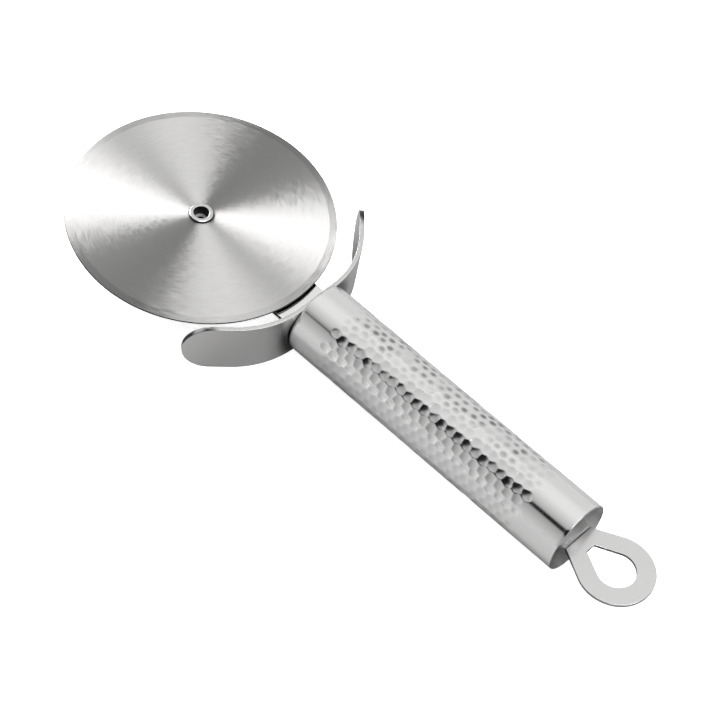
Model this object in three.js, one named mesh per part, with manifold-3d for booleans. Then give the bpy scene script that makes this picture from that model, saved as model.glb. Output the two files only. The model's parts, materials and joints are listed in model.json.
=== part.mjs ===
// Pizza cutter: a wheel that spins on a tubular rivet, on a flat arm held by a hammered tube handle.
// Millimetres, +Z up, with the cutter lying flat and +X running along the handle towards the wheel.
// The origin lies under the middle of the whole cutter, level with the lowest line of the handle.

import * as THREE from 'three';
import { mergeVertices } from 'three/addons/utils/BufferGeometryUtils.js';
import Module from 'manifold-3d';

const wasm = await Module();
wasm.setup();

// Cutting wheel
const wheelDiameter = 90;
const wheelThickness = 1;
const bevelWidth = 2.5;
const edgeThickness = 0.2;

// Hub: the eyelet is a tubular rivet, with a washer on top of the wheel and a spacer below it
const eyeletDiameter = 5.6;
const eyeletWall = 0.3;
const lipOverhang = 1.15;
const lipThickness = 0.4;
const throatRadius = 0.4;
const headOverhang = 1.4;
const headThickness = 0.6;
const washerDiameter = 8.5;
const washerThickness = 0.4;
const spacerDiameter = 12;
const spacerThickness = 0.9;

// Arm: a flat bar from the hub to the guard, with a narrower tang that passes through it into the handle
const armWidth = 18.4;
const armThickness = 1.5;
const armTangWidth = 14;
const armTangLength = 26;
const armTangChamfer = 3;

// Finger guard: a strip bent forward into two wings with fully rounded tips
const guardHeight = 19.2;
const guardThickness = 1.6;
const guardFlatWidth = 15.4;
const guardBendRadius = 31.9;
const guardBendAngle = THREE.MathUtils.degToRad(42);
const guardWingLength = 15.9;
const wheelToGuard = 6.5;

// Handle tube, hammered between two smooth bands
const tubeDiameter = 25;
const tubeWall = 0.5;
const tubeLength = 112.9;
const frontBand = 11.8;
const rearBand = 15.5;
const dimplePitch = 3.55;
const dimpleDepth = 0.22;

// Hanging loop: a plate with a teardrop hole, a narrow neck and a tang that widens inside the tube
const loopThickness = 1.1;
const loopDiameter = 25.5;
const loopRim = 6.3;
const loopHoleFlat = 3.7;
const loopHoleSetback = 5.5;
const neckWidth = 11.6;
const neckLength = 3.3;
const loopTangTaper = 16;
const loopTangLength = 26;
const creaseWidth = 1;
const creaseDepth = 0.25;

// Clearances: spin for the wheel's running gaps, ring for the rings round the eyelet, seat for tangs and slots
const spinClearance = 0.1;
const ringClearance = 0.15;
const seatClearance = 0.3;

// Fineness of round forms
const wheelSegments = 120;
const ringSegments = 60;
const arcSegments = 24;
const rollSegments = 6;
const weldTolerance = 1e-3;

// Places worked out from the sizes
const axleToHandle = wheelDiameter / 2 + wheelToGuard + guardThickness;
const loopReach = neckLength + loopDiameter / 2;
const overallLength = wheelDiameter / 2 + axleToHandle + tubeLength + neckLength + loopDiameter;
const axleX = (overallLength - wheelDiameter) / 2;
const tubeFrontX = axleX - axleToHandle;
const tubeRearX = tubeFrontX - tubeLength;
const loopX = tubeRearX - loopReach;
const axisZ = tubeDiameter / 2;
const boreRadius = tubeDiameter / 2 - tubeWall;
const loopTangHalf = boreRadius - seatClearance;
const armBase = axisZ - armThickness / 2;
const armTop = axisZ + armThickness / 2;
const wheelBase = armTop + spacerThickness + spinClearance;
const washerBase = wheelBase + wheelThickness + spinClearance;
const lipBase = washerBase + washerThickness;
const wheelBoreRadius = eyeletDiameter / 2 + spinClearance;
const ringBoreRadius = eyeletDiameter / 2 + ringClearance;
const dimplesPerRow = Math.floor((tubeLength - frontBand - rearBand) / dimplePitch);
const dimpleRows = 2 * Math.round((Math.PI * tubeDiameter) / (dimplePitch * Math.sqrt(3)));

// Keeps only positions, so that neighbouring triangles share their corners
function weld(geometry) {
  geometry.deleteAttribute('normal');
  geometry.deleteAttribute('uv');
  return mergeVertices(geometry, weldTolerance);
}

function toSolid(geometry) {
  const welded = weld(geometry);
  return new wasm.Manifold(new wasm.Mesh({
    numProp: 3,
    vertProperties: Float32Array.from(welded.attributes.position.array),
    triVerts: Uint32Array.from(welded.index.array),
  }));
}

function toGeometry(solid) {
  const mesh = solid.getMesh();
  const geometry = new THREE.BufferGeometry();
  geometry.setAttribute('position', new THREE.BufferAttribute(Float32Array.from(mesh.vertProperties), 3));
  geometry.setIndex(new THREE.BufferAttribute(Uint32Array.from(mesh.triVerts), 1));
  return geometry;
}

// Turns a closed profile of [radius, height] points about the Z axis
function turn(profile, segments) {
  const points = profile.map(([radius, height]) => new THREE.Vector2(radius, height));
  points.push(points[0].clone());
  return weld(new THREE.LatheGeometry(points, segments).rotateX(Math.PI / 2));
}

function plate(shape, base, thickness) {
  const options = { depth: thickness, bevelEnabled: false, curveSegments: arcSegments };
  return new THREE.ExtrudeGeometry(shape, options).translate(0, 0, base);
}

// A round arc of [radius, height] points for a turned profile
function arc(centreRadius, centreHeight, radius, fromAngle, toAngle) {
  return Array.from({ length: rollSegments + 1 }, (_, step) => {
    const angle = fromAngle + ((toAngle - fromAngle) * step) / rollSegments;
    return [centreRadius + radius * Math.cos(angle), centreHeight + radius * Math.sin(angle)];
  });
}

// Angle, seen from a circle's centre, of the point where a straight side from (x, y) touches the circle
function touchAngle(x, y, radius) {
  return Math.atan2(y, x) + Math.acos(radius / Math.hypot(x, y));
}

function makeWheel() {
  const radius = wheelDiameter / 2;
  const bevelStart = radius - bevelWidth;
  const edgeLow = (wheelThickness - edgeThickness) / 2;
  const edgeHigh = (wheelThickness + edgeThickness) / 2;
  const profile = [
    [wheelBoreRadius, 0],
    [bevelStart, 0],
    [radius, edgeLow],
    [radius, edgeHigh],
    [bevelStart, wheelThickness],
    [wheelBoreRadius, wheelThickness],
  ];
  return turn(profile, wheelSegments).translate(axleX, 0, wheelBase);
}

function makeFlatRing(diameter, thickness, base) {
  const profile = [
    [ringBoreRadius, 0],
    [diameter / 2, 0],
    [diameter / 2, thickness],
    [ringBoreRadius, thickness],
  ];
  return turn(profile, ringSegments).translate(axleX, 0, base);
}

// The eyelet's barrel runs from a flat head under the arm to a lip rolled outwards over the washer
function makeEyelet() {
  const outer = eyeletDiameter / 2;
  const inner = outer - eyeletWall;
  const roll = lipThickness / 2;
  const lipEdge = outer + lipOverhang - roll;
  const headEdge = outer + headOverhang;
  const headBase = armBase - headThickness;
  const profile = [
    [inner, headBase],
    [headEdge, headBase],
    [headEdge, armBase],
    [outer, armBase],
    [outer, lipBase],
    ...arc(lipEdge, lipBase + roll, roll, -Math.PI / 2, Math.PI / 2),
    ...arc(inner + throatRadius, lipBase + lipThickness - throatRadius, throatRadius, Math.PI / 2, Math.PI),
  ];
  return turn(profile, ringSegments).translate(axleX, 0, 0);
}

function makeArm() {
  const half = armWidth / 2;
  const tangHalf = armTangWidth / 2;
  const shoulderX = tubeFrontX + guardThickness + seatClearance;
  const tangEndX = tubeFrontX - armTangLength;
  const shape = new THREE.Shape();
  shape.moveTo(axleX, -half);
  shape.absarc(axleX, 0, half, -Math.PI / 2, Math.PI / 2, false);
  shape.lineTo(shoulderX, half);
  shape.lineTo(shoulderX, tangHalf);
  shape.lineTo(tangEndX + armTangChamfer, tangHalf);
  shape.lineTo(tangEndX, tangHalf - armTangChamfer);
  shape.lineTo(tangEndX, armTangChamfer - tangHalf);
  shape.lineTo(tangEndX + armTangChamfer, -tangHalf);
  shape.lineTo(shoulderX, -tangHalf);
  shape.lineTo(shoulderX, -half);
  const eyeletHole = new THREE.Path();
  eyeletHole.absarc(axleX, 0, ringBoreRadius, 0, 2 * Math.PI, true);
  shape.holes.push(eyeletHole);
  return weld(plate(shape, armBase, armThickness));
}

// Stations along one half of the guard's back face: place, forward direction and half height
function guardStations() {
  const backRadius = guardBendRadius + guardThickness;
  const flat = guardFlatWidth / 2;
  const tipRadius = guardHeight / 2;
  const place = (turned, beyond) => ({
    x: tubeFrontX + backRadius * (1 - Math.cos(turned)) + beyond * Math.sin(turned),
    y: flat + backRadius * Math.sin(turned) + beyond * Math.cos(turned),
    turned,
  });
  const stations = [];
  for (let step = 0; step <= arcSegments; step += 1) {
    stations.push({ ...place((guardBendAngle * step) / arcSegments, 0), half: tipRadius });
  }
  const facet = Math.PI / (2 * arcSegments + 1);
  for (let step = arcSegments; step >= 0; step -= 1) {
    const fromTip = facet * (step + 0.5);
    const beyond = guardWingLength - tipRadius * (1 - Math.cos(fromTip));
    stations.push({ ...place(guardBendAngle, beyond), half: tipRadius * Math.sin(fromTip) });
  }
  return stations;
}

// Lofts the strip through its stations, from the right wing's tip to the left wing's, and cuts the tang's slot
function makeGuard() {
  const leftHalf = guardStations();
  const rightHalf = leftHalf.map((at) => ({ ...at, y: -at.y, turned: -at.turned })).reverse();
  const positions = [];
  for (const at of [...rightHalf, ...leftHalf]) {
    const frontX = at.x + guardThickness * Math.cos(at.turned);
    const frontY = at.y - guardThickness * Math.sin(at.turned);
    positions.push(at.x, at.y, axisZ - at.half, frontX, frontY, axisZ - at.half);
    positions.push(frontX, frontY, axisZ + at.half, at.x, at.y, axisZ + at.half);
  }
  const corners = 4;
  const last = positions.length / 3 - corners;
  const index = [0, 1, 2, 0, 2, 3, last, last + 2, last + 1, last, last + 3, last + 2];
  for (let start = 0; start < last; start += corners) {
    for (let corner = 0; corner < corners; corner += 1) {
      const here = start + corner;
      const beside = start + ((corner + 1) % corners);
      index.push(here, here + corners, beside + corners, here, beside + corners, beside);
    }
  }
  const strip = new THREE.BufferGeometry();
  strip.setAttribute('position', new THREE.BufferAttribute(Float32Array.from(positions), 3));
  strip.setIndex(index);
  const slotWidth = armTangWidth + 2 * seatClearance;
  const slotHeight = armThickness + 2 * seatClearance;
  const slotDepth = 4 * guardThickness;
  const slot = new THREE.BoxGeometry(slotDepth, slotWidth, slotHeight);
  slot.translate(tubeFrontX, 0, axisZ);
  return toGeometry(toSolid(strip).subtract(toSolid(slot)));
}

// The tube's outside is a net of six-sided dimples, staggered from row to row, between two smooth bands.
// Each corner lies on a ring position (level) round the tube and a half-pitch step along it.
function makeTube() {
  const radius = tubeDiameter / 2;
  const rowHeight = (2 * Math.PI * radius) / dimpleRows;
  const cornerRise = rowHeight - (rowHeight ** 2 + (dimplePitch / 2) ** 2) / (2 * rowHeight);
  const levels = 2 * dimpleRows;
  const lastStep = 2 * dimplesPerRow;
  const zoneX = tubeFrontX - frontBand;
  const positions = [];
  const index = [];
  const known = new Map();

  const rowAngle = (row) => (2 * Math.PI * (row + 0.5)) / dimpleRows - Math.PI / 2;
  const levelAngle = (level) => rowAngle(Math.floor(level / 2)) + ((level % 2 ? 1 : -1) * cornerRise) / radius;
  const addPoint = (x, angle, distance) => {
    positions.push(x, distance * Math.cos(angle), axisZ + distance * Math.sin(angle));
    return positions.length / 3 - 1;
  };
  const corner = (step, level) => {
    const wrapped = (level + levels) % levels;
    const key = step * levels + wrapped;
    if (!known.has(key)) {
      known.set(key, addPoint(zoneX - (step * dimplePitch) / 2, levelAngle(wrapped), radius));
    }
    return known.get(key);
  };
  const ring = (x, distance) => (
    Array.from({ length: levels }, (_, level) => addPoint(x, levelAngle(level), distance))
  );
  const band = (first, second) => {
    for (let level = 0; level < levels; level += 1) {
      const next = (level + 1) % levels;
      index.push(first[level], second[level], second[next], first[level], second[next], first[next]);
    }
  };

  for (let row = 0; row < dimpleRows; row += 1) {
    const shift = row % 2;
    for (let dimple = 0; dimple < dimplesPerRow - shift; dimple += 1) {
      const left = 2 * dimple + shift;
      const middle = addPoint(zoneX - ((left + 1) * dimplePitch) / 2, rowAngle(row), radius - dimpleDepth);
      const rim = [
        corner(left + 2, 2 * row),
        corner(left + 2, 2 * row + 1),
        corner(left + 1, 2 * row + 2),
        corner(left, 2 * row + 1),
        corner(left, 2 * row),
        corner(left + 1, 2 * row - 1),
      ];
      rim.forEach((point, side) => index.push(middle, point, rim[(side + 1) % rim.length]));
    }
  }

  const zoneEdge = (fromEnd) => Array.from({ length: levels }, (_, level) => {
    const shift = Math.floor(level / 2) % 2;
    return corner(fromEnd ? lastStep - shift : shift, level);
  });
  const outerFront = ring(tubeFrontX, radius);
  const outerRear = ring(tubeRearX, radius);
  const innerFront = ring(tubeFrontX, boreRadius);
  const innerRear = ring(tubeRearX, boreRadius);
  band(outerFront, zoneEdge(false));
  band(zoneEdge(true), outerRear);
  band(outerRear, innerRear);
  band(innerRear, innerFront);
  band(innerFront, outerFront);

  const geometry = new THREE.BufferGeometry();
  geometry.setAttribute('position', new THREE.BufferAttribute(Float32Array.from(positions), 3));
  geometry.setIndex(index);
  return geometry;
}

// Outline of the loop: straight sides from the neck that touch the round end, and the tang inside the tube
function loopOutline() {
  const radius = loopDiameter / 2;
  const neck = neckWidth / 2;
  const touch = touchAngle(loopReach, neck, radius);
  const shape = new THREE.Shape();
  shape.moveTo(tubeRearX + loopTangLength, -loopTangHalf);
  shape.lineTo(tubeRearX + loopTangLength, loopTangHalf);
  shape.lineTo(tubeRearX + loopTangTaper, loopTangHalf);
  shape.lineTo(tubeRearX, neck);
  shape.absarc(loopX, 0, radius, touch, 2 * Math.PI - touch, false);
  shape.lineTo(tubeRearX, -neck);
  shape.lineTo(tubeRearX + loopTangTaper, -loopTangHalf);
  return shape;
}

// The teardrop hole, with its point cut off flat
function loopHole() {
  const radius = loopDiameter / 2 - loopRim;
  const flat = loopHoleFlat / 2;
  const point = loopReach - loopHoleSetback;
  const touch = touchAngle(point, flat, radius);
  const hole = new THREE.Path();
  hole.moveTo(loopX + point, -flat);
  hole.lineTo(loopX + point, flat);
  hole.absarc(loopX, 0, radius, touch, 2 * Math.PI - touch, false);
  return hole;
}

// A pressed crease crosses the top of the neck where it leaves the tube
function makeLoop() {
  const base = axisZ - loopThickness / 2;
  const top = axisZ + loopThickness / 2;
  const shape = loopOutline();
  shape.holes.push(loopHole());
  const groove = new THREE.Shape();
  groove.moveTo(-creaseWidth / 2, 0);
  groove.lineTo(0, -creaseDepth);
  groove.lineTo(creaseWidth / 2, 0);
  groove.lineTo(0, creaseDepth);
  const cutter = new THREE.ExtrudeGeometry(groove, { depth: tubeDiameter, bevelEnabled: false });
  cutter.translate(0, 0, -tubeDiameter / 2).rotateX(Math.PI / 2);
  cutter.translate(tubeRearX, 0, top);
  return toGeometry(toSolid(plate(shape, base, loopThickness)).subtract(toSolid(cutter)));
}

const cutter = new THREE.Group();

function addPart(name, geometry, color, roughness, metalness) {
  const material = new THREE.MeshStandardMaterial({ color, roughness, metalness });
  const mesh = new THREE.Mesh(geometry, material);
  mesh.name = name;
  cutter.add(mesh);
}

addPart('blade', makeWheel(), 0xc8c7c4, 0.3, 1);
addPart('hub_eyelet', makeEyelet(), 0xdededc, 0.12, 1);
addPart('hub_washer', makeFlatRing(washerDiameter, washerThickness, washerBase), 0x3c3c3c, 0.4, 1);
addPart('hub_spacer', makeFlatRing(spacerDiameter, spacerThickness, armTop), 0x3c3c3c, 0.4, 1);
addPart('blade_arm', makeArm(), 0xd4d4d2, 0.25, 1);
addPart('finger_guard', makeGuard(), 0xb0afac, 0.32, 1);
addPart('handle_tube', makeTube(), 0xcfcfcd, 0.22, 1);
addPart('hanging_loop', makeLoop(), 0xcacac8, 0.3, 1);

export default cutter;
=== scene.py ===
"""Looks of a pizza cutter lying flat: a brushed wheel, a bent finger guard and a hammered tube handle."""
import json
import math

import bmesh
import bpy
import numpy as np
from mathutils import Matrix, Vector
from mathutils.geometry import tessellate_polygon


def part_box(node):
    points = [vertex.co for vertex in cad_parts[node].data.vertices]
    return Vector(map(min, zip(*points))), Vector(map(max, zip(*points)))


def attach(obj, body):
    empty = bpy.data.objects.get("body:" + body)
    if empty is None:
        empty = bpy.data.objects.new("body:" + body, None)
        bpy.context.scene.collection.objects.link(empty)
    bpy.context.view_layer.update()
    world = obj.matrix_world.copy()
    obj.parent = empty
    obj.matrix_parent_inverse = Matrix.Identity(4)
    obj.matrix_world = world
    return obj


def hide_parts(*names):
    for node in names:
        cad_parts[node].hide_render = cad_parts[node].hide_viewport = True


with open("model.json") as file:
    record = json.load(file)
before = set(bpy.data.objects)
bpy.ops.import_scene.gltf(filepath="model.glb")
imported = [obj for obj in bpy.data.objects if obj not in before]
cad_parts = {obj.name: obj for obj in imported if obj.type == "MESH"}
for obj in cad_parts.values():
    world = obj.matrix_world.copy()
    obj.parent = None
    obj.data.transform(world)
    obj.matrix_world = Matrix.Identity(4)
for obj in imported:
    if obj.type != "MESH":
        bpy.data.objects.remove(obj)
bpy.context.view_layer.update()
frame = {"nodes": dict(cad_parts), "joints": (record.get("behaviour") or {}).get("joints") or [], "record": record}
record = frame["record"]
BODY_OF = {node: body for body, nodes in record["behaviour"]["bodies"].items() for node in nodes}

MM = 0.001
QUARTER_TURN = math.pi / 2
FULL_TURN = 2 * math.pi

# Places and sizes read from the frame
AXLE = Vector(frame["joints"][0]["pos_m"])
wheel_low, wheel_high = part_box("blade")
arm_low, arm_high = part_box("blade_arm")
guard_low, guard_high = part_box("finger_guard")
tube_low, tube_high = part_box("handle_tube")
loop_low, loop_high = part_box("hanging_loop")
washer_low, washer_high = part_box("hub_washer")
eyelet_low, eyelet_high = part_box("hub_eyelet")
WHEEL_RADIUS = (wheel_high.x - wheel_low.x) / 2
ARM_THICKNESS = arm_high.z - arm_low.z
AXIS_Z = (arm_low.z + arm_high.z) / 2
TUBE_RADIUS = AXIS_Z
TUBE_FRONT = tube_high.x
TUBE_REAR = tube_low.x

# Wheel
BEVEL_WIDTH = 2.5 * MM
EDGE_THICKNESS = 0.45 * MM
EDGE_LINE = 0.15 * MM
WHEEL_BORE = 2.9 * MM
WHEEL_SEGMENTS = 360

# Hub
BARREL_RADIUS = 2.8 * MM
BARREL_WALL = 0.3 * MM
LIP_OVERHANG = 1.15 * MM
LIP_STEPS = 12
THROAT_RADIUS = 0.3 * MM
HEAD_THICKNESS = 0.6 * MM
BORE_FLOOR = 1.0 * MM
PIT_RADIUS = 1.4 * MM
PIT_DEPTH = 0.3 * MM
RING_BORE = 2.95 * MM
RING_ROUNDING = 0.1 * MM
RING_STEPS = 4
RING_SEGMENTS = 128

# Arm
ARM_TANG_WIDTH = 14 * MM
ARM_TANG_CHAMFER = 3 * MM
SEAT_CLEARANCE = 0.3 * MM

# Guard, measured along its back face
GUARD_THICKNESS = 1.6 * MM
GUARD_FLAT_WIDTH = 15.4 * MM
GUARD_HALF_FLAT = GUARD_FLAT_WIDTH / 2
GUARD_BEND_RADIUS = 31.9 * MM
GUARD_BACK_RADIUS = GUARD_BEND_RADIUS + GUARD_THICKNESS
GUARD_BEND_ANGLE = math.radians(42)
GUARD_WING_LENGTH = 15.9 * MM
GUARD_TIP_RADIUS = (guard_high.z - guard_low.z) / 2

# Tube
TUBE_WALL = 0.5 * MM
TUBE_ROUNDING = 0.12 * MM
RIM_STEPS = 4
BAND_STEPS = 12
FRONT_BAND = 11.8 * MM

# Hammer marks: their net round the tube and the bowl of each one
DENT_START = TUBE_FRONT - FRONT_BAND
DENT_PITCH = 3.55 * MM
DENT_ROWS = 26
DENTS_PER_ROW = 24
DENT_DEPTH = 0.2 * MM
DENT_REACH_ALONG = 2.27 * MM
DENT_REACH_ROUND = 1.83 * MM
DENT_ROW_SHIFT = 0.55
DENT_STEPS = 11

# Chance in the hammer marks: how far it changes depth, place and lean, and fades the ends of each row
DENT_SEED = 7
DENT_LIMIT = 1.5
DENT_SPREAD = 0.06
DENT_JITTER = 0.08 * MM
DENT_TILT_ALONG = math.radians(0.5)
DENT_TILT_ROUND = math.radians(2.5)
DENT_FADE = 0.45

# Hanging loop
LOOP_RADIUS = (loop_high.y - loop_low.y) / 2
LOOP_RIM = 6.3 * MM
LOOP_HOLE_FLAT = 3.7 * MM
LOOP_HOLE_SETBACK = 5.5 * MM
NECK_WIDTH = 11.6 * MM
TANG_TAPER = 16 * MM
CREASE_WIDTH = 1.0 * MM
CREASE_DEPTH = 0.25 * MM
CREASE_SHARP_DEGREES = 20

# Rounding of sheet edges, with a narrow flat strip beside it that keeps the face's shading even
SHEET_ROUNDING = 0.12 * MM
EDGE_STRIP = 0.05 * MM
ROUNDING_STEPS = 5
ARC_STEPS = 48
WELD = 0.0001 * MM

# Steel in general: greys and roughness run from nought to one, and rates are per millimetre
# Warmth takes away blue and a share of green, and nearly all of a noise lies within its span
GREEN_SHARE = 0.4
NOISE_SPAN = (0.3, 0.7)
STREAK_CONTRAST = 0.03
STREAK_ROUGHNESS = 0.03

# Upward part of the normal where one kind of face turns into the next
EDGE_TO_LEVEL = (0.88, 0.99)
UPRIGHT_TO_ROUNDING = (0.15, 0.3)
ROUNDING_TO_LEVEL = (0.9, 0.98)

# Steel of the wheel, each pair from its darker brush lines to its lighter ones
WHEEL_GREYS = (0.325, 0.36)
BEVEL_GREYS = (0.25, 0.31)
# Grey of the painted shade along the wheel's very edge
RIM_SHADE_GREY = 0.02
WHEEL_WARMTH = 0.02
WHEEL_ROUGHNESS = (0.39, 0.45)
WHEEL_ANISOTROPY = 0.97
WHEEL_GRAIN_TURN = (0.234, 0.274)
FINE_RATE = 2.6
BROAD_RATE = 0.6
BROAD_SHARE = 0.2
RATE_PER_RADIAN = 3

# Steel of the hub, with the depths under the lip's top where the bore's painted shade begins
EYELET_GREY = 0.7
EYELET_ROUGHNESS = 0.22
BORE_SHADE_GREY = 0.02
BORE_FLOOR_GREY = 0.6
BORE_ROUGHNESS = 0.5
BORE_SHINE_DEPTH = 0.006 * MM
BORE_SHADE_DEPTH = 0.036 * MM

# Painted shade on sheet pieces: the arm under the wheel, the guard's back and tips, the loop beside its crease
WHEEL_SHADE = 0.3 * MM
TUBE_SHADE = (0.5 * MM, 5 * MM)
BACK_FACING = (-0.9, -0.3)
TIP_SHADE = 0.6
CREASE_SHADE = 0.6

# Steel of the tube: painted shade in its hollows, and darker spots in some of them
RIDGE_GREY = 0.92
HOLLOW_SHADE_GREY = 0.86
DARK_SPOT_GREY = 0.15
TUBE_WARMTH = 0.01
HOLLOW_SIDE = (0.05, 0.6)
HOLLOW_MIDDLE = (0.6, 1.1)
DARK_SPOT_RATE = 0.09
DARK_SPOT_SPAN = (0.36, 0.66)
DARK_SPOT_SIDE = (-1 * MM, 5 * MM)
DARK_SPOT_SHARE = (0.85, 0.05)

# Steel of the tube: painted light crescents on its near side, painted shade in its lining and on its rims, and its
# scratches
PAINTED_LIGHT_SIDE = (7 * MM, 11.5 * MM)
PAINTED_LIGHT_FACING = (-0.1, 0.12)
PAINTED_LIGHT_GREYS = (0.78, 1.0)
LINING_DEPTH = (0.5, 0.9)
LINING_SPAN = (-5 * MM, 3 * MM)
LINING_SHADE_GREYS = (0.3, 1.0)
LINING_ROUGHNESS = 0.45
REAR_RIM_SHADE_GREY = 0.4
FRONT_RIM_SHADE_GREY = 0.08
SCRATCH_RATES = (5, 0.15, 0.15)
SCRATCH_ROUGHNESS = (0.09, 0.14)
SCRATCH_STRENGTH = 0.15
SCRATCH_DEPTH = 0.02 * MM

# Camera, placed from the axle and aimed at a point in the wheel's middle plane
CAMERA_PLACE = Vector((-367.52, 453.71, 693.64)) * MM
CAMERA_AIM = Vector((-75.42, 3.12, 0)) * MM
CAMERA_ROLL = math.radians(13.13)
CAMERA_LENS = 137.74
CAMERA_CLIP = 50 * MM

# Surround: azimuths and heights in degrees, light levels against the view's white
WALL_LIGHT = 0.12
CEILING_LIGHT = 0.82
CEILING_EDGE = 47
CEILING_SOFT = 10

# Each softbox: azimuth, half its width, softness of its sides, bottom, top, softness of both, light level
SOFTBOXES = (
    (-5, 26, 7, 12, 44, 4, 15),
    (316, 10, 6, -90, 38, 9, 0.75),
    (260, 50, 10, -90, 47, 10, 0.58),
    (66, 24, 20, -90, 47, 3, 0.56),
    (43, 12, 12, -90, 47, 3, 0.45),
    (145, 40, 10, -90, 71, 7, 1.8),
)

# Light overhead and dark strip across the studio: angles in degrees, places as parts of a direction
OVERHEAD_LEAN = -8
OVERHEAD_MIDDLE = (-0.18, -0.06)
OVERHEAD_HALF = (0.15, 0.38)
OVERHEAD_SOFT = (0.05, 0.12)
OVERHEAD_LIGHT = 9.8
STRIP_TILT = 53
STRIP_OFFSET = 0.066
STRIP_TAPER = 0.6
STRIP_CORE = (0.2, 0.3)
STRIP_CORE_SHARE = 0.5
STRIP_SKIRT = (0.25, 0.9)

# Floors
FLOOR_HALF = 3000 * MM
FLOOR_ROUGHNESS = 0.8
PALE_FLOOR_GREY = 0.95
PALE_FLOOR_GLOW = 0.7
MIRRORED_FLOOR_GREY = 0.24
MIRRORED_FLOOR_DROP = 0.2 * MM


def add_piece(name, node, shape, material, sharp_degrees):
    """Makes a smooth-shaded mesh of vertices and faces that stands for one node of the frame."""
    vertices, faces = shape
    mesh = bpy.data.meshes.new(name)
    mesh.from_pydata([tuple(v) for v in vertices], [], [tuple(f) for f in faces])
    work = bmesh.new()
    work.from_mesh(mesh)
    bmesh.ops.remove_doubles(work, verts=work.verts, dist=WELD)
    bmesh.ops.recalc_face_normals(work, faces=work.faces)
    work.to_mesh(mesh)
    work.free()
    mesh.shade_smooth()
    mesh.set_sharp_from_angle(angle=math.radians(sharp_degrees))
    mesh.materials.append(material)
    piece = bpy.data.objects.new(name, mesh)
    bpy.context.scene.collection.objects.link(piece)
    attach(piece, BODY_OF[node])
    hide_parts(node)
    return piece


def closed_grid(points):
    """Vertices and faces of a grid of points that closes on itself both ways."""
    rows, columns = points.shape[:2]
    index = np.arange(rows * columns).reshape(rows, columns)
    below = np.roll(index, -1, axis=0)
    beside = np.roll(index, -1, axis=1)
    corner = np.roll(below, -1, axis=1)
    faces = np.stack([index, beside, corner, below], axis=-1).reshape(-1, 4)
    return points.reshape(-1, 3), faces


def arc(centre, radius, start, end, steps):
    """Points of an arc, angles in radians."""
    turns = np.linspace(start, end, steps + 1)
    return [(centre[0] + radius * math.cos(a), centre[1] + radius * math.sin(a)) for a in turns]


def quarter_arc(centre, radius, quarter, steps):
    """Points of one quarter of a circle, counted anticlockwise from nought at the upper right."""
    return arc(centre, radius, quarter * QUARTER_TURN, (quarter + 1) * QUARTER_TURN, steps)


def turned(profile, segments):
    """A closed profile of (radius, height) points turned about the axle."""
    radius, height = np.array(profile).T
    turns = np.arange(segments) * FULL_TURN / segments
    points = np.empty((len(profile), segments, 3))
    points[..., 0] = AXLE.x + radius[:, None] * np.cos(turns)
    points[..., 1] = AXLE.y + radius[:, None] * np.sin(turns)
    points[..., 2] = height[:, None]
    return closed_grid(points)


def inset_loop(loop, distance):
    """Moves a loop of (a, b) points to its left by a distance."""
    here = np.array(loop)
    after = np.roll(here, -1, axis=0) - here
    after /= np.linalg.norm(after, axis=1)[:, None]
    before = np.roll(after, 1, axis=0)
    left = np.stack([-after[:, 1] - before[:, 1], after[:, 0] + before[:, 0]], axis=1)
    left /= np.linalg.norm(left, axis=1)[:, None]
    facing = left[:, 1] * after[:, 0] - left[:, 0] * after[:, 1]
    return here + left * (distance / facing)[:, None]


def rounded_plate(loops, thickness, place, fill):
    """A plate with rounded edges. The first loop runs round it anticlockwise, and holes run clockwise."""
    quarter = np.linspace(0, QUARTER_TURN, ROUNDING_STEPS + 1)
    inset = SHEET_ROUNDING * (1 - np.sin(quarter))
    height = SHEET_ROUNDING * (1 - np.cos(quarter))
    flat = SHEET_ROUNDING + EDGE_STRIP
    rings = [(flat, 0.0), *zip(inset, height)]
    rings += [(distance, thickness - up) for distance, up in reversed(rings)]
    vertices = []
    faces = []
    caps = [[], []]
    for loop in loops:
        start = len(vertices)
        count = len(loop)
        for distance, up in rings:
            vertices += [place(a, b, up) for a, b in inset_loop(loop, distance)]
        for ring in range(len(rings) - 1):
            for step in range(count):
                low = start + ring * count + step
                next_low = start + ring * count + (step + 1) % count
                faces.append((low, next_low, next_low + count, low + count))
        caps[0] += range(start, start + count)
        caps[1] += range(start + (len(rings) - 1) * count, start + len(rings) * count)
    triangles = fill([inset_loop(loop, flat) for loop in loops])
    for cap in caps:
        faces += [tuple(cap[corner] for corner in face) for face in triangles]
    return vertices, faces


def level_above(base):
    """Gives the function that places a level plate's points above a height."""
    return lambda a, b, up: (a, b, base + up)


def fill_flat(loops):
    """Triangles of a flat shape with holes."""
    return tessellate_polygon([[Vector((a, b, 0)) for a, b in loop] for loop in loops])


def fill_strip(loops):
    """Rungs across a strip that is the same above and below, with a slot in its flat middle."""
    outside, slot = loops
    count = len(outside)
    half = count // 2
    middle = [step for step in range(half + 1) if abs(outside[step][0]) < GUARD_HALF_FLAT + EDGE_STRIP]
    rungs = [step for step in range(1, half - 1) if step not in middle[:-1]]
    faces = [(step, step + 1, count - step - 1, count - step) for step in rungs]
    ring = [*middle, *[count - step for step in reversed(middle)]]
    corners = [*ring, *range(count, count + len(slot))]
    triangles = fill_flat([[outside[step] for step in ring], slot])
    faces += [tuple(corners[corner] for corner in face) for face in triangles]
    return [(0, 1, count - 1), (half - 1, half, half + 1), *faces]


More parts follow.
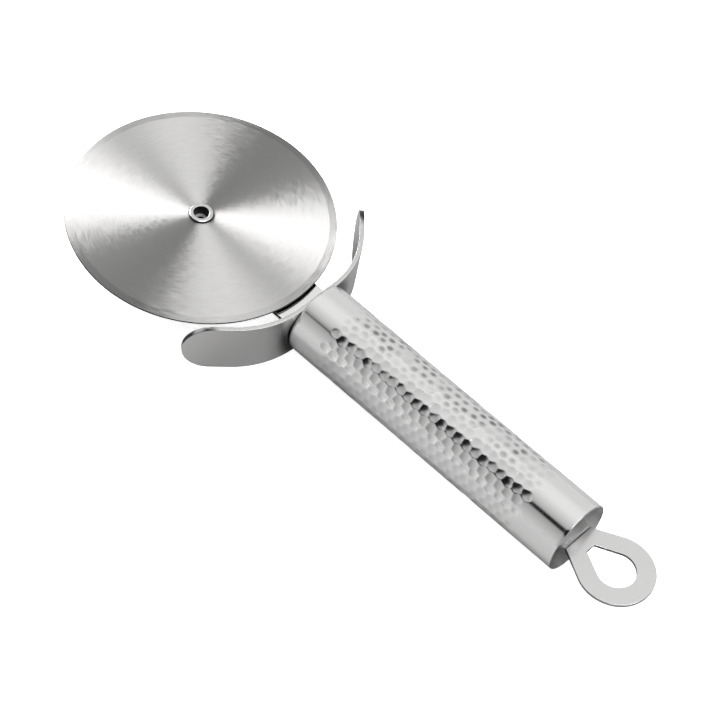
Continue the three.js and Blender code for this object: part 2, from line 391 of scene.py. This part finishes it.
def make_wheel(material):
    """A flat disc with a bore and a ground bevel on both sides."""
    half_edge = EDGE_THICKNESS / 2
    flat = WHEEL_RADIUS - BEVEL_WIDTH
    profile = [
        (WHEEL_BORE, wheel_low.z),
        (flat, wheel_low.z),
        (WHEEL_RADIUS, AXLE.z - half_edge),
        (WHEEL_RADIUS, AXLE.z + half_edge),
        (flat, wheel_high.z),
        (WHEEL_BORE, wheel_high.z),
    ]
    add_piece("brushed_wheel", "blade", turned(profile, WHEEL_SEGMENTS), material, sharp_degrees=5)


def make_eyelet(material):
    """A rivet with a flat head below, a rolled lip above and a bore that ends in a pitted floor."""
    inner = BARREL_RADIUS - BARREL_WALL
    roll = (eyelet_high.z - washer_high.z) / 2
    lip_edge = BARREL_RADIUS + LIP_OVERHANG - roll
    head_edge = (eyelet_high.x - eyelet_low.x) / 2
    head_top = eyelet_low.z + HEAD_THICKNESS
    floor = eyelet_low.z + BORE_FLOOR
    throat = (inner + THROAT_RADIUS, eyelet_high.z - THROAT_RADIUS)
    profile = [
        (0, eyelet_low.z),
        (head_edge, eyelet_low.z),
        (head_edge, head_top),
        (BARREL_RADIUS, head_top),
        (BARREL_RADIUS, washer_high.z),
        *arc((lip_edge, washer_high.z + roll), roll, -QUARTER_TURN, QUARTER_TURN, LIP_STEPS),
        *quarter_arc(throat, THROAT_RADIUS, 1, LIP_STEPS),
        (inner, floor),
        (PIT_RADIUS, floor),
        (PIT_RADIUS, floor - PIT_DEPTH),
        (0, floor - PIT_DEPTH),
    ]
    add_piece("rolled_eyelet", "hub_eyelet", turned(profile, RING_SEGMENTS), material, sharp_degrees=40)


def make_washer(material):
    """A thin ring with a rounded outer edge."""
    edge = (washer_high.x - washer_low.x) / 2 - RING_ROUNDING
    profile = [
        (RING_BORE, washer_low.z),
        *quarter_arc((edge, washer_low.z + RING_ROUNDING), RING_ROUNDING, -1, RING_STEPS),
        *quarter_arc((edge, washer_high.z - RING_ROUNDING), RING_ROUNDING, 0, RING_STEPS),
        (RING_BORE, washer_high.z),
    ]
    add_piece("hub_ring", "hub_washer", turned(profile, RING_SEGMENTS), material, sharp_degrees=40)


def make_arm(material):
    """A flat bar with a round end at the axle and a shouldered tang that goes through the guard."""
    half = (arm_high.y - arm_low.y) / 2
    tang = ARM_TANG_WIDTH / 2
    shoulder = TUBE_FRONT + GUARD_THICKNESS + SEAT_CLEARANCE
    end = arm_low.x
    outline = [
        (shoulder, -half),
        *arc((AXLE.x, AXLE.y), half, -QUARTER_TURN, QUARTER_TURN, ARC_STEPS),
        (shoulder, half),
        (shoulder, tang),
        (end + ARM_TANG_CHAMFER, tang),
        (end, tang - ARM_TANG_CHAMFER),
        (end, ARM_TANG_CHAMFER - tang),
        (end + ARM_TANG_CHAMFER, -tang),
        (shoulder, -tang),
    ]
    hole = arc((AXLE.x, AXLE.y), RING_BORE, FULL_TURN, 0, ARC_STEPS)[:-1]
    shape = rounded_plate([outline, hole], ARM_THICKNESS, level_above(arm_low.z), fill_flat)
    add_piece("flat_arm", "blade_arm", shape, material, sharp_degrees=50)


def on_guard(along, rise, forward):
    """The place of a point on the bent strip, from its distance along the back face."""
    side = math.copysign(1, along)
    beyond_flat = max(0.0, abs(along) - GUARD_HALF_FLAT)
    turn = min(GUARD_BEND_ANGLE, beyond_flat / GUARD_BACK_RADIUS)
    beyond_bend = beyond_flat - GUARD_BACK_RADIUS * turn
    radius = GUARD_BACK_RADIUS - forward
    y = min(abs(along), GUARD_HALF_FLAT) + radius * math.sin(turn) + beyond_bend * math.cos(turn)
    x = GUARD_BACK_RADIUS - radius * math.cos(turn) + beyond_bend * math.sin(turn)
    return TUBE_FRONT + x, side * y, AXIS_Z + rise


def make_guard(material):
    """A strip bent forward into two wings with round tips, with a slot for the arm's tang."""
    radius = GUARD_TIP_RADIUS
    reach = GUARD_HALF_FLAT + GUARD_BACK_RADIUS * GUARD_BEND_ANGLE + GUARD_WING_LENGTH - radius
    bent = np.linspace(GUARD_HALF_FLAT, reach, ARC_STEPS)
    edge = [*-bent[-2::-1], *bent[:-1]]
    outline = [
        *quarter_arc((-reach, 0), radius, 2, ARC_STEPS),
        *[(along, -radius) for along in edge],
        *arc((reach, 0), radius, -QUARTER_TURN, QUARTER_TURN, 2 * ARC_STEPS),
        *[(along, radius) for along in reversed(edge)],
        *quarter_arc((-reach, 0), radius, 1, ARC_STEPS)[:-1],
    ]
    wide = ARM_TANG_WIDTH / 2 + SEAT_CLEARANCE
    high = ARM_THICKNESS / 2 + SEAT_CLEARANCE
    slot = [(-wide, -high), (-wide, high), (wide, high), (wide, -high)]
    shape = rounded_plate([outline, slot], GUARD_THICKNESS, on_guard, fill_strip)
    add_piece("bent_guard", "finger_guard", shape, material, sharp_degrees=50)


def hammer_dents(places, turns):
    """Depth of the hammer marks at each place along the tube and each turn round it."""
    random = np.random.default_rng(DENT_SEED)
    girth = FULL_TURN * TUBE_RADIUS
    round_tube = turns * TUBE_RADIUS
    row_height = girth / DENT_ROWS
    depth = np.zeros((len(places), len(turns)))
    for row in range(DENT_ROWS):
        stagger = row % 2
        marks = DENTS_PER_ROW - stagger
        for mark in range(marks):
            chances = np.clip(random.normal(size=5), -DENT_LIMIT, DENT_LIMIT)
            shift_x, shift_y, change, lean_x, lean_y = chances
            along = places - DENT_START + (mark + 0.5 + stagger / 2) * DENT_PITCH - shift_x * DENT_JITTER
            across = round_tube - (row + DENT_ROW_SHIFT) * row_height - shift_y * DENT_JITTER
            across = (across + girth / 2) % girth - girth / 2
            near_along = np.abs(along) < DENT_PITCH
            near_across = np.abs(across) < DENT_PITCH
            along = along[near_along, None]
            across = across[near_across]
            deepest = DENT_DEPTH * (1 + change * DENT_SPREAD)
            if mark in (0, marks - 1):
                deepest -= DENT_DEPTH * DENT_FADE * random.random()
            lean = DENT_TILT_ALONG * lean_x * along + DENT_TILT_ROUND * lean_y * across
            bowl = (along / DENT_REACH_ALONG) ** 2 + (across / DENT_REACH_ROUND) ** 2
            block = np.ix_(near_along, near_across)
            depth[block] = np.maximum(depth[block], deepest - DENT_DEPTH * bowl + lean)
    return depth


def make_tube(material):
    """A tube with rounded rims and a plain bore, hammered between two smooth bands."""
    front = TUBE_FRONT - TUBE_ROUNDING
    rear = TUBE_REAR + TUBE_ROUNDING
    zone_front = DENT_START + DENT_PITCH
    zone_rear = DENT_START - (DENTS_PER_ROW + 1) * DENT_PITCH
    fine = DENT_PITCH / DENT_STEPS
    outside = np.concatenate([
        np.linspace(front, zone_front, BAND_STEPS),
        np.arange(zone_front - fine, zone_rear, -fine),
        np.linspace(zone_rear, rear, BAND_STEPS),
    ])
    outer = TUBE_RADIUS - TUBE_ROUNDING
    inner = TUBE_RADIUS - TUBE_WALL + TUBE_ROUNDING
    profile = [
        *[(x, TUBE_RADIUS) for x in outside],
        *quarter_arc((rear, outer), TUBE_ROUNDING, 1, RIM_STEPS)[1:],
        *quarter_arc((rear, inner), TUBE_ROUNDING, 2, RIM_STEPS),
        *quarter_arc((front, inner), TUBE_ROUNDING, 3, RIM_STEPS),
        *quarter_arc((front, outer), TUBE_ROUNDING, 0, RIM_STEPS)[:-1],
    ]
    places, radius = np.array(profile).T
    steps = DENT_ROWS * DENT_STEPS
    turns = np.arange(steps) * FULL_TURN / steps
    distance = np.repeat(radius[:, None], steps, axis=1)
    distance[:len(outside)] -= hammer_dents(outside, turns)
    from_side = turns - QUARTER_TURN
    points = np.empty((len(profile), steps, 3))
    points[..., 0] = places[:, None]
    points[..., 1] = distance * np.cos(from_side)
    points[..., 2] = AXIS_Z + distance * np.sin(from_side)
    add_piece("hammered_tube", "handle_tube", closed_grid(points), material, sharp_degrees=60)


def touch_angle(x, y, radius):
    """Where a straight side from (x, y) touches a circle round the origin."""
    return math.atan2(y, x) + math.acos(radius / math.hypot(x, y))


def make_loop(material):
    """A flat plate with a round end, a teardrop hole and a tang in the tube, creased where it leaves it."""
    centre = (loop_low.x + LOOP_RADIUS, 0)
    reach = TUBE_REAR - centre[0]
    neck = NECK_WIDTH / 2
    tang = TUBE_RADIUS - TUBE_WALL - SEAT_CLEARANCE
    touch = touch_angle(reach, neck, LOOP_RADIUS)
    outline = [
        (loop_high.x, -tang),
        (loop_high.x, tang),
        (TUBE_REAR + TANG_TAPER, tang),
        (TUBE_REAR, neck),
        *arc(centre, LOOP_RADIUS, touch, FULL_TURN - touch, 2 * ARC_STEPS),
        (TUBE_REAR, -neck),
        (TUBE_REAR + TANG_TAPER, -tang),
    ]
    hole_radius = LOOP_RADIUS - LOOP_RIM
    point = reach - LOOP_HOLE_SETBACK
    flat = LOOP_HOLE_FLAT / 2
    hole_touch = touch_angle(point, flat, hole_radius)
    hole = [
        (centre[0] + point, flat),
        (centre[0] + point, -flat),
        *arc(centre, hole_radius, -hole_touch, hole_touch - FULL_TURN, 2 * ARC_STEPS),
    ]
    thickness = loop_high.z - loop_low.z
    shape = rounded_plate([outline, hole], thickness, level_above(loop_low.z), fill_flat)
    piece = add_piece("looped_plate", "hanging_loop", shape, material, sharp_degrees=50)
    press_crease(piece.data)


def press_crease(mesh):
    """Presses a shallow groove across the plate's top where it leaves the tube."""
    crease = TUBE_REAR - EDGE_STRIP
    work = bmesh.new()
    work.from_mesh(mesh)
    for offset in (-CREASE_WIDTH / 2, 0, CREASE_WIDTH / 2):
        everything = [*work.verts, *work.edges, *work.faces]
        bmesh.ops.bisect_plane(work, geom=everything, plane_co=(crease + offset, 0, 0), plane_no=(1, 0, 0))
    for vertex in work.verts:
        if abs(vertex.co.x - crease) < WELD and vertex.co.z > loop_high.z - SHEET_ROUNDING:
            vertex.co.z -= CREASE_DEPTH
    bmesh.ops.dissolve_degenerate(work, dist=EDGE_STRIP / 10, edges=work.edges)
    work.to_mesh(mesh)
    work.free()
    mesh.set_sharp_from_angle(angle=math.radians(CREASE_SHARP_DEGREES))


class Nodes:
    """A short way to add shader nodes and to join them."""

    # A mix node's colour sockets come after those for numbers and vectors
    COLOUR_INPUTS = (6, 7)
    COLOUR_OUTPUT = 2

    def __init__(self, tree):
        self.tree = tree

    def add(self, kind, **settings):
        node = self.tree.nodes.new(kind)
        for name, value in settings.items():
            setattr(node, name, value)
        return node

    def feed(self, socket, value):
        if isinstance(value, bpy.types.NodeSocket):
            self.tree.links.new(value, socket)
        else:
            socket.default_value = value

    def math(self, operation, *values):
        node = self.add("ShaderNodeMath", operation=operation)
        for socket, value in zip(node.inputs, values):
            self.feed(socket, value)
        return node.outputs[0]

    def vector_math(self, operation, *values):
        node = self.add("ShaderNodeVectorMath", operation=operation)
        for socket, value in zip(node.inputs, values):
            self.feed(socket, value)
        return node.outputs["Value" if operation in ("DOT_PRODUCT", "LENGTH") else "Vector"]

    def split(self, vector):
        """The three parts of a vector."""
        node = self.add("ShaderNodeSeparateXYZ")
        self.feed(node.inputs[0], vector)
        return tuple(node.outputs)

    def place(self):
        """The shaded point, in the part's frame."""
        return self.add("ShaderNodeTexCoord").outputs["Object"]

    def facing(self):
        """The normal of the surface, in the part's frame."""
        return self.add("ShaderNodeTexCoord").outputs["Normal"]

    def ramp(self, value, low, high, to_low=0.0, to_high=1.0, smooth=True):
        """Goes from one number to another as a value goes from low to high."""
        node = self.add("ShaderNodeMapRange", interpolation_type="SMOOTHSTEP" if smooth else "LINEAR")
        names = ("Value", "From Min", "From Max", "To Min", "To Max")
        for name, number in zip(names, (value, low, high, to_low, to_high)):
            self.feed(node.inputs[name], number)
        return node.outputs["Result"]

    def fall(self, value, low, high):
        """Goes from one to nought as a value goes from low to high."""
        return self.ramp(value, low, high, 1, 0)

    def noise(self, vector, scale, detail):
        node = self.add("ShaderNodeTexNoise")
        self.feed(node.inputs["Vector"], vector)
        self.feed(node.inputs["Scale"], scale)
        self.feed(node.inputs["Detail"], detail)
        return node.outputs["Fac"]

    def grain(self, rates, detail):
        """Noise that changes along each axis by its own rate per millimetre."""
        stretched = self.vector_math("MULTIPLY", self.place(), tuple(rate / MM for rate in rates))
        return self.noise(stretched, 1.0, detail)

    def blend(self, factor, first, second):
        node = self.add("ShaderNodeMix", data_type="RGBA")
        self.feed(node.inputs["Factor"], factor)
        for index, colour in zip(self.COLOUR_INPUTS, (first, second)):
            self.feed(node.inputs[index], colour)
        return node.outputs[self.COLOUR_OUTPUT]

    def blend_greys(self, factor, levels, warmth=0.0):
        return self.blend(factor, *[grey(level, warmth) for level in levels])


def grey(level, warmth=0.0):
    """A grey with a trace of warmth."""
    return (level, level * (1 - GREEN_SHARE * warmth), level * (1 - warmth), 1)


def start_steel(name):
    """A new metal, its nodes and its shader."""
    material = bpy.data.materials.new(name)
    material.use_nodes = True
    nodes = Nodes(material.node_tree)
    shader = material.node_tree.nodes["Principled BSDF"]
    shader.inputs["Metallic"].default_value = 1
    return material, nodes, shader


def plain_steel(name, level, warmth, roughness, rates):
    """Steel with fine streaks in its colour and its roughness."""
    material, nodes, shader = start_steel(name)
    streak = nodes.grain(rates, detail=3)
    levels = (level * (1 - STREAK_CONTRAST), level * (1 + STREAK_CONTRAST))
    nodes.feed(shader.inputs["Base Color"], nodes.blend_greys(streak, levels, warmth))
    span = (roughness - STREAK_ROUGHNESS, roughness + STREAK_ROUGHNESS)
    nodes.feed(shader.inputs["Roughness"], nodes.ramp(streak, 0, 1, *span, smooth=False))
    return material, nodes, shader


def paint_shade(nodes, shader, mask, level):
    """Paints shade: blends the metal's colour towards a grey where the mask is one."""
    colour = shader.inputs["Base Color"]
    nodes.feed(colour, nodes.blend(mask, colour.links[0].from_socket, grey(level)))


def axle_distance(nodes):
    """Distance of the shaded point from the wheel's axle."""
    away = nodes.vector_math("SUBTRACT", nodes.place(), tuple(AXLE))
    return nodes.vector_math("LENGTH", nodes.vector_math("MULTIPLY", away, (1, 1, 0)))


def axis_distance(nodes):
    """Distance of the shaded point from the tube's axis."""
    away = nodes.vector_math("SUBTRACT", nodes.place(), (0, 0, AXIS_Z))
    return nodes.vector_math("LENGTH", nodes.vector_math("MULTIPLY", away, (0, 1, 1)))


def upward(nodes):
    """How level the surface is, from nought on an upright face to one on a level face."""
    return nodes.math("ABSOLUTE", nodes.split(nodes.facing())[2])


def cut_edges(nodes):
    """One on the upright cut edges of a level plate and nought on its faces."""
    return nodes.fall(upward(nodes), *EDGE_TO_LEVEL)


def roundings(nodes):
    """One on the roundings between a plate's level faces and its upright ones."""
    up = upward(nodes)
    rising = nodes.ramp(up, *UPRIGHT_TO_ROUNDING)
    return nodes.math("MULTIPLY", rising, nodes.fall(up, *ROUNDING_TO_LEVEL))


def wheel_steel():
    """Steel brushed in circles round the axle, with a duller bevel and a line of painted shade at its edge."""
    material, nodes, shader = start_steel("wheel_steel")
    radius = axle_distance(nodes)
    east, north, _ = nodes.split(nodes.vector_math("SUBTRACT", nodes.place(), tuple(AXLE)))
    turn = nodes.math("ARCTAN2", north, east)
    rings = nodes.add("ShaderNodeCombineXYZ")
    nodes.feed(rings.inputs[0], nodes.math("MULTIPLY", radius, 1 / MM))
    nodes.feed(rings.inputs[1], nodes.math("MULTIPLY", turn, RATE_PER_RADIAN))
    fine = nodes.noise(rings.outputs[0], FINE_RATE, detail=3)
    broad = nodes.noise(rings.outputs[0], BROAD_RATE, detail=2)
    fine_part = nodes.math("MULTIPLY", fine, 1 - BROAD_SHARE)
    broad_part = nodes.math("MULTIPLY", broad, BROAD_SHARE)
    brushed = nodes.ramp(nodes.math("ADD", fine_part, broad_part), *NOISE_SPAN)
    flat = WHEEL_RADIUS - BEVEL_WIDTH
    bevel = nodes.ramp(radius, flat - EDGE_LINE, flat + EDGE_LINE)
    # Painted shade: a dark line along the edge, where the edge and underside fall in shadow
    rim = nodes.ramp(radius, WHEEL_RADIUS - EDGE_LINE, WHEEL_RADIUS - EDGE_LINE / 2)
    steel = nodes.blend_greys(brushed, WHEEL_GREYS, WHEEL_WARMTH)
    ground = nodes.blend_greys(brushed, BEVEL_GREYS, WHEEL_WARMTH)
    metal = nodes.blend(bevel, steel, ground)
    nodes.feed(shader.inputs["Base Color"], nodes.blend(rim, metal, grey(RIM_SHADE_GREY)))
    nodes.feed(shader.inputs["Roughness"], nodes.ramp(brushed, 0, 1, *WHEEL_ROUGHNESS, smooth=False))
    shader.inputs["Anisotropic"].default_value = WHEEL_ANISOTROPY
    grain_turn = nodes.ramp(fine, *NOISE_SPAN, *WHEEL_GRAIN_TURN, smooth=False)
    nodes.feed(shader.inputs["Anisotropic Rotation"], grain_turn)
    tangent = nodes.add("ShaderNodeTangent", direction_type="RADIAL", axis="Z")
    nodes.feed(shader.inputs["Tangent"], tangent.outputs[0])
    return material


def eyelet_steel():
    """Polished steel, with painted shade and a dull finish inside the bore, and a lighter floor round the pit."""
    material, nodes, shader = start_steel("eyelet_steel")
    radius = axle_distance(nodes)
    height = nodes.split(nodes.place())[2]
    deep = nodes.fall(height, eyelet_high.z - BORE_SHADE_DEPTH, eyelet_high.z - BORE_SHINE_DEPTH)
    inside = nodes.fall(radius, BARREL_RADIUS, BARREL_RADIUS + BARREL_WALL)
    # Painted shade deep in the bore and in its pit
    dark = nodes.math("MULTIPLY", deep, inside)
    floor = eyelet_low.z + BORE_FLOOR
    low = nodes.fall(height, floor, floor + THROAT_RADIUS)
    ring = nodes.ramp(radius, PIT_RADIUS, PIT_RADIUS + THROAT_RADIUS)
    bore = nodes.blend_greys(nodes.math("MULTIPLY", low, ring), (BORE_SHADE_GREY, BORE_FLOOR_GREY))
    nodes.feed(shader.inputs["Base Color"], nodes.blend(dark, grey(EYELET_GREY), bore))
    nodes.feed(shader.inputs["Roughness"], nodes.ramp(dark, 0, 1, EYELET_ROUGHNESS, BORE_ROUGHNESS))
    return material


def washer_steel():
    """Steel of a nearly black grey."""
    return plain_steel("washer_steel", level=0.015, warmth=0.01, roughness=0.45, rates=(2, 2, 2))[0]


def arm_steel():
    """Polished flat, with painted shade on its cut edges and a painted shadow under the wheel."""
    material, nodes, shader = plain_steel(
        "arm_steel", level=0.97, warmth=0.01, roughness=0.14, rates=(0.3, 3, 3)
    )
    # Painted shadow of the wheel on the arm, and painted shade on the cut edges
    shade = WHEEL_RADIUS + WHEEL_SHADE
    painted_wheel_shadow = nodes.fall(axle_distance(nodes), shade - EDGE_LINE, shade + EDGE_LINE)
    paint_shade(nodes, shader, painted_wheel_shadow, level=0.03)
    paint_shade(nodes, shader, cut_edges(nodes), level=0.08)
    return material


def loop_steel():
    """Fine satin, with painted shade on its cut edges and, away from the crease, on its roundings."""
    material, nodes, shader = plain_steel(
        "loop_steel", level=0.76, warmth=0.01, roughness=0.2, rates=(2, 0.4, 2)
    )
    along = nodes.split(nodes.place())[0]
    from_crease = nodes.math("ABSOLUTE", nodes.math("SUBTRACT", along, TUBE_REAR))
    beyond = nodes.ramp(from_crease, CREASE_SHADE * CREASE_WIDTH, CREASE_WIDTH)
    # Painted shade on the cut edges, and on the roundings in place of their highlights
    paint_shade(nodes, shader, cut_edges(nodes), level=0.4)
    paint_shade(nodes, shader, nodes.math("MULTIPLY", roundings(nodes), beyond), level=0.05)
    return material


def guard_steel():
    """Satin, with painted shade on its roundings and tips and on its back near the tube."""
    material, nodes, shader = plain_steel(
        "guard_steel", level=0.7, warmth=0.02, roughness=0.24, rates=(0.3, 0.3, 5)
    )
    near, far = TUBE_SHADE
    shade = nodes.fall(axis_distance(nodes), TUBE_RADIUS + near, TUBE_RADIUS + far)
    behind = nodes.fall(nodes.split(nodes.facing())[0], *BACK_FACING)
    side = nodes.math("ABSOLUTE", nodes.split(nodes.place())[1])
    tip = guard_high.y - GUARD_TIP_RADIUS
    beyond = nodes.ramp(side, tip, guard_high.y - TIP_SHADE * GUARD_TIP_RADIUS)
    edge = nodes.ramp(upward(nodes), *UPRIGHT_TO_ROUNDING)
    # Painted shade: on the roundings in place of their highlights, on the back near the tube, and as a dark
    # reflection on the tips' edges
    paint_shade(nodes, shader, roundings(nodes), level=0.06)
    paint_shade(nodes, shader, nodes.math("MULTIPLY", shade, behind), level=0.15)
    paint_shade(nodes, shader, nodes.math("MULTIPLY", beyond, edge), level=0.03)
    return material


def hammered_colour(nodes, depth, side):
    """Bright ridges and bands, hollows with painted shade and, on the near side, painted light crescents, and
    darker spots in some of them.
    """
    # Painted shade: hollows are a little darker than the ridges
    hollow = nodes.ramp(depth, *[share * DENT_DEPTH for share in HOLLOW_SIDE])
    middle = nodes.ramp(depth, *[share * DENT_DEPTH for share in HOLLOW_MIDDLE])
    forward = nodes.split(nodes.facing())[0]
    # Painted light: on the near side, slopes that face forward are lighter, as crescents of light in the hollows
    painted_crescents = nodes.blend_greys(nodes.ramp(forward, *PAINTED_LIGHT_FACING), PAINTED_LIGHT_GREYS, TUBE_WARMTH)
    hollow_colour = nodes.blend(nodes.ramp(side, *PAINTED_LIGHT_SIDE), grey(HOLLOW_SHADE_GREY, TUBE_WARMTH), painted_crescents)
    steel = nodes.blend(hollow, grey(RIDGE_GREY, TUBE_WARMTH), hollow_colour)
    # Darker spots in the middle of some hollows, mostly on the far side
    patch = nodes.ramp(nodes.grain((DARK_SPOT_RATE, DARK_SPOT_RATE, DARK_SPOT_RATE), detail=1), *DARK_SPOT_SPAN)
    spread = nodes.math("MULTIPLY", patch, nodes.ramp(side, *DARK_SPOT_SIDE, *DARK_SPOT_SHARE))
    dark_spots = nodes.math("MULTIPLY", middle, spread)
    return nodes.blend(dark_spots, steel, grey(DARK_SPOT_GREY, TUBE_WARMTH))


def tube_steel():
    """Hammered steel with faint scratches, painted shade on its rims and a lining with painted shade low on the
    near side.
    """
    material, nodes, shader = start_steel("tube_steel")
    along, side, height = nodes.split(nodes.place())
    depth = nodes.math("SUBTRACT", TUBE_RADIUS, axis_distance(nodes))
    inside = nodes.ramp(depth, *[share * TUBE_WALL for share in LINING_DEPTH])
    # Painted shade in the lining, darkest low on the near side
    high_and_far = nodes.math("SUBTRACT", height, side)
    lit = nodes.ramp(high_and_far, *[AXIS_Z + rise for rise in LINING_SPAN])
    lining = nodes.blend_greys(lit, LINING_SHADE_GREYS)
    steel = nodes.blend(inside, hammered_colour(nodes, depth, side), lining)
    # Painted shade on the rims in place of their highlights, darkest at the front
    rear = nodes.fall(along, TUBE_REAR + TUBE_ROUNDING, TUBE_REAR + 2 * TUBE_ROUNDING)
    steel = nodes.blend(rear, steel, grey(REAR_RIM_SHADE_GREY))
    front = nodes.ramp(along, TUBE_FRONT - 2 * TUBE_ROUNDING, TUBE_FRONT - TUBE_ROUNDING)
    nodes.feed(shader.inputs["Base Color"], nodes.blend(front, steel, grey(FRONT_RIM_SHADE_GREY)))
    scratches = nodes.grain(SCRATCH_RATES, detail=2)
    polish = nodes.ramp(scratches, *NOISE_SPAN, *SCRATCH_ROUGHNESS, smooth=False)
    dull = nodes.math("MULTIPLY", inside, LINING_ROUGHNESS)
    nodes.feed(shader.inputs["Roughness"], nodes.math("MAXIMUM", polish, dull))
    bump = nodes.add("ShaderNodeBump")
    bump.inputs["Strength"].default_value = SCRATCH_STRENGTH
    bump.inputs["Distance"].default_value = SCRATCH_DEPTH
    nodes.feed(bump.inputs["Height"], scratches)
    nodes.feed(shader.inputs["Normal"], bump.outputs[0])
    return material


def radians(*degrees):
    return [math.radians(angle) for angle in degrees]


def softbox_light(nodes, height, azimuth, middle, half, soft, bottom, top, edge, level):
    """Light of one standing softbox with soft sides and ends."""
    turn = nodes.math("WRAP", nodes.math("SUBTRACT", azimuth, math.radians(middle)), math.pi, -math.pi)
    beside = nodes.fall(nodes.math("ABSOLUTE", turn), *radians(half - soft, half + soft))
    below = nodes.fall(height, *radians(top - edge, top + edge))
    above = nodes.ramp(height, *radians(bottom - edge, bottom + edge), 0, level)
    return nodes.math("MULTIPLY", beside, nodes.math("MULTIPLY", below, above))


def overhead_light(nodes, direction, up):
    """Light of one oblong softbox overhead."""
    light = nodes.math("MULTIPLY", nodes.math("GREATER_THAN", up, 0), OVERHEAD_LIGHT)
    lean = math.radians(OVERHEAD_LEAN)
    sides = [(math.cos(lean), math.sin(lean), 0), (-math.sin(lean), math.cos(lean), 0)]
    for side, middle, half, soft in zip(sides, OVERHEAD_MIDDLE, OVERHEAD_HALF, OVERHEAD_SOFT):
        along = nodes.vector_math("DOT_PRODUCT", direction, side)
        away = nodes.math("ABSOLUTE", nodes.math("SUBTRACT", along, middle))
        light = nodes.math("MULTIPLY", light, nodes.fall(away, half - soft, half + soft))
    return light


def strip_shade(nodes, direction, east):
    """Share of the light that a dark strip across the studio leaves: none in its middle, all far off."""
    tilt = math.radians(STRIP_TILT)
    along = nodes.vector_math("DOT_PRODUCT", direction, (0, math.sin(tilt), -math.cos(tilt)))
    away = nodes.math("ABSOLUTE", nodes.math("SUBTRACT", along, STRIP_OFFSET))
    away = nodes.math("ADD", away, nodes.math("MULTIPLY", nodes.math("ABSOLUTE", east), STRIP_TAPER))
    core = nodes.ramp(away, *STRIP_CORE, 0, STRIP_CORE_SHARE)
    skirt = nodes.ramp(away, *STRIP_SKIRT, 0, 1 - STRIP_CORE_SHARE, smooth=False)
    return nodes.math("ADD", core, skirt)


def make_surround():
    """A studio of softboxes under a lit ceiling, with a dark strip across it, all far away and unseen."""
    world = bpy.data.worlds.new("studio")
    bpy.context.scene.world = world
    world.use_nodes = True
    nodes = Nodes(world.node_tree)
    direction = nodes.add("ShaderNodeTexCoord").outputs["Generated"]
    east, north, up = nodes.split(direction)
    height = nodes.math("ARCSINE", up)
    azimuth = nodes.math("ARCTAN2", north, east)
    ceiling = radians(CEILING_EDGE - CEILING_SOFT, CEILING_EDGE + CEILING_SOFT)
    light = nodes.ramp(height, *ceiling, WALL_LIGHT, CEILING_LIGHT)
    for box in SOFTBOXES:
        light = nodes.math("ADD", light, softbox_light(nodes, height, azimuth, *box))
    light = nodes.math("ADD", light, overhead_light(nodes, direction, up))
    light = nodes.math("MULTIPLY", light, strip_shade(nodes, direction, east))
    seen = nodes.add("ShaderNodeLightPath").outputs["Is Camera Ray"]
    background = world.node_tree.nodes["Background"]
    nodes.feed(background.inputs["Color"], nodes.blend(seen, light, grey(1)))


def make_floor(name, level, height):
    """A wide level square of one grey."""
    half = FLOOR_HALF
    corners = [(-half, -half, height), (half, -half, height), (half, half, height), (-half, half, height)]
    mesh = bpy.data.meshes.new(name)
    mesh.from_pydata(corners, [], [(0, 1, 2, 3)])
    material = bpy.data.materials.new(name)
    material.use_nodes = True
    shader = material.node_tree.nodes["Principled BSDF"]
    shader.inputs["Base Color"].default_value = grey(level)
    shader.inputs["Roughness"].default_value = FLOOR_ROUGHNESS
    mesh.materials.append(material)
    floor = bpy.data.objects.new(name, mesh)
    bpy.context.scene.collection.objects.link(floor)
    return floor


def make_floors():
    """A pale floor for the eye and a darker one, just under it, for the metal to mirror."""
    pale = make_floor("pale_floor", PALE_FLOOR_GREY, 0)
    glow = pale.data.materials[0].node_tree.nodes["Principled BSDF"]
    glow.inputs["Emission Color"].default_value = grey(1)
    glow.inputs["Emission Strength"].default_value = PALE_FLOOR_GLOW
    pale.visible_glossy = False
    pale.visible_diffuse = False
    pale.visible_shadow = False
    mirrored = make_floor("mirrored_floor", MIRRORED_FLOOR_GREY, -MIRRORED_FLOOR_DROP)
    mirrored.visible_camera = False


def make_camera():
    """A long lens that looks down on the cutter, turned about its own line of sight."""
    data = bpy.data.cameras.new("camera")
    data.lens = CAMERA_LENS
    data.clip_start = CAMERA_CLIP
    camera = bpy.data.objects.new("camera", data)
    bpy.context.scene.collection.objects.link(camera)
    looking = CAMERA_AIM - CAMERA_PLACE
    turn = looking.to_track_quat("-Z", "Y").to_matrix() @ Matrix.Rotation(CAMERA_ROLL, 3, "Z")
    camera.matrix_world = Matrix.Translation(AXLE + CAMERA_PLACE) @ turn.to_4x4()
    bpy.context.scene.camera = camera


make_camera()
make_surround()
make_floors()
ring_steel = washer_steel()
make_wheel(wheel_steel())
make_eyelet(eyelet_steel())
make_washer(ring_steel)
make_arm(arm_steel())
make_guard(guard_steel())
make_tube(tube_steel())
make_loop(loop_steel())

# The spacer is hidden by its neighbours, so it stays as it is and only takes the washer's steel
frame["nodes"]["hub_spacer"].data.materials.clear()
frame["nodes"]["hub_spacer"].data.materials.append(ring_steel)

bpy.context.scene.view_settings.view_transform = "Standard"
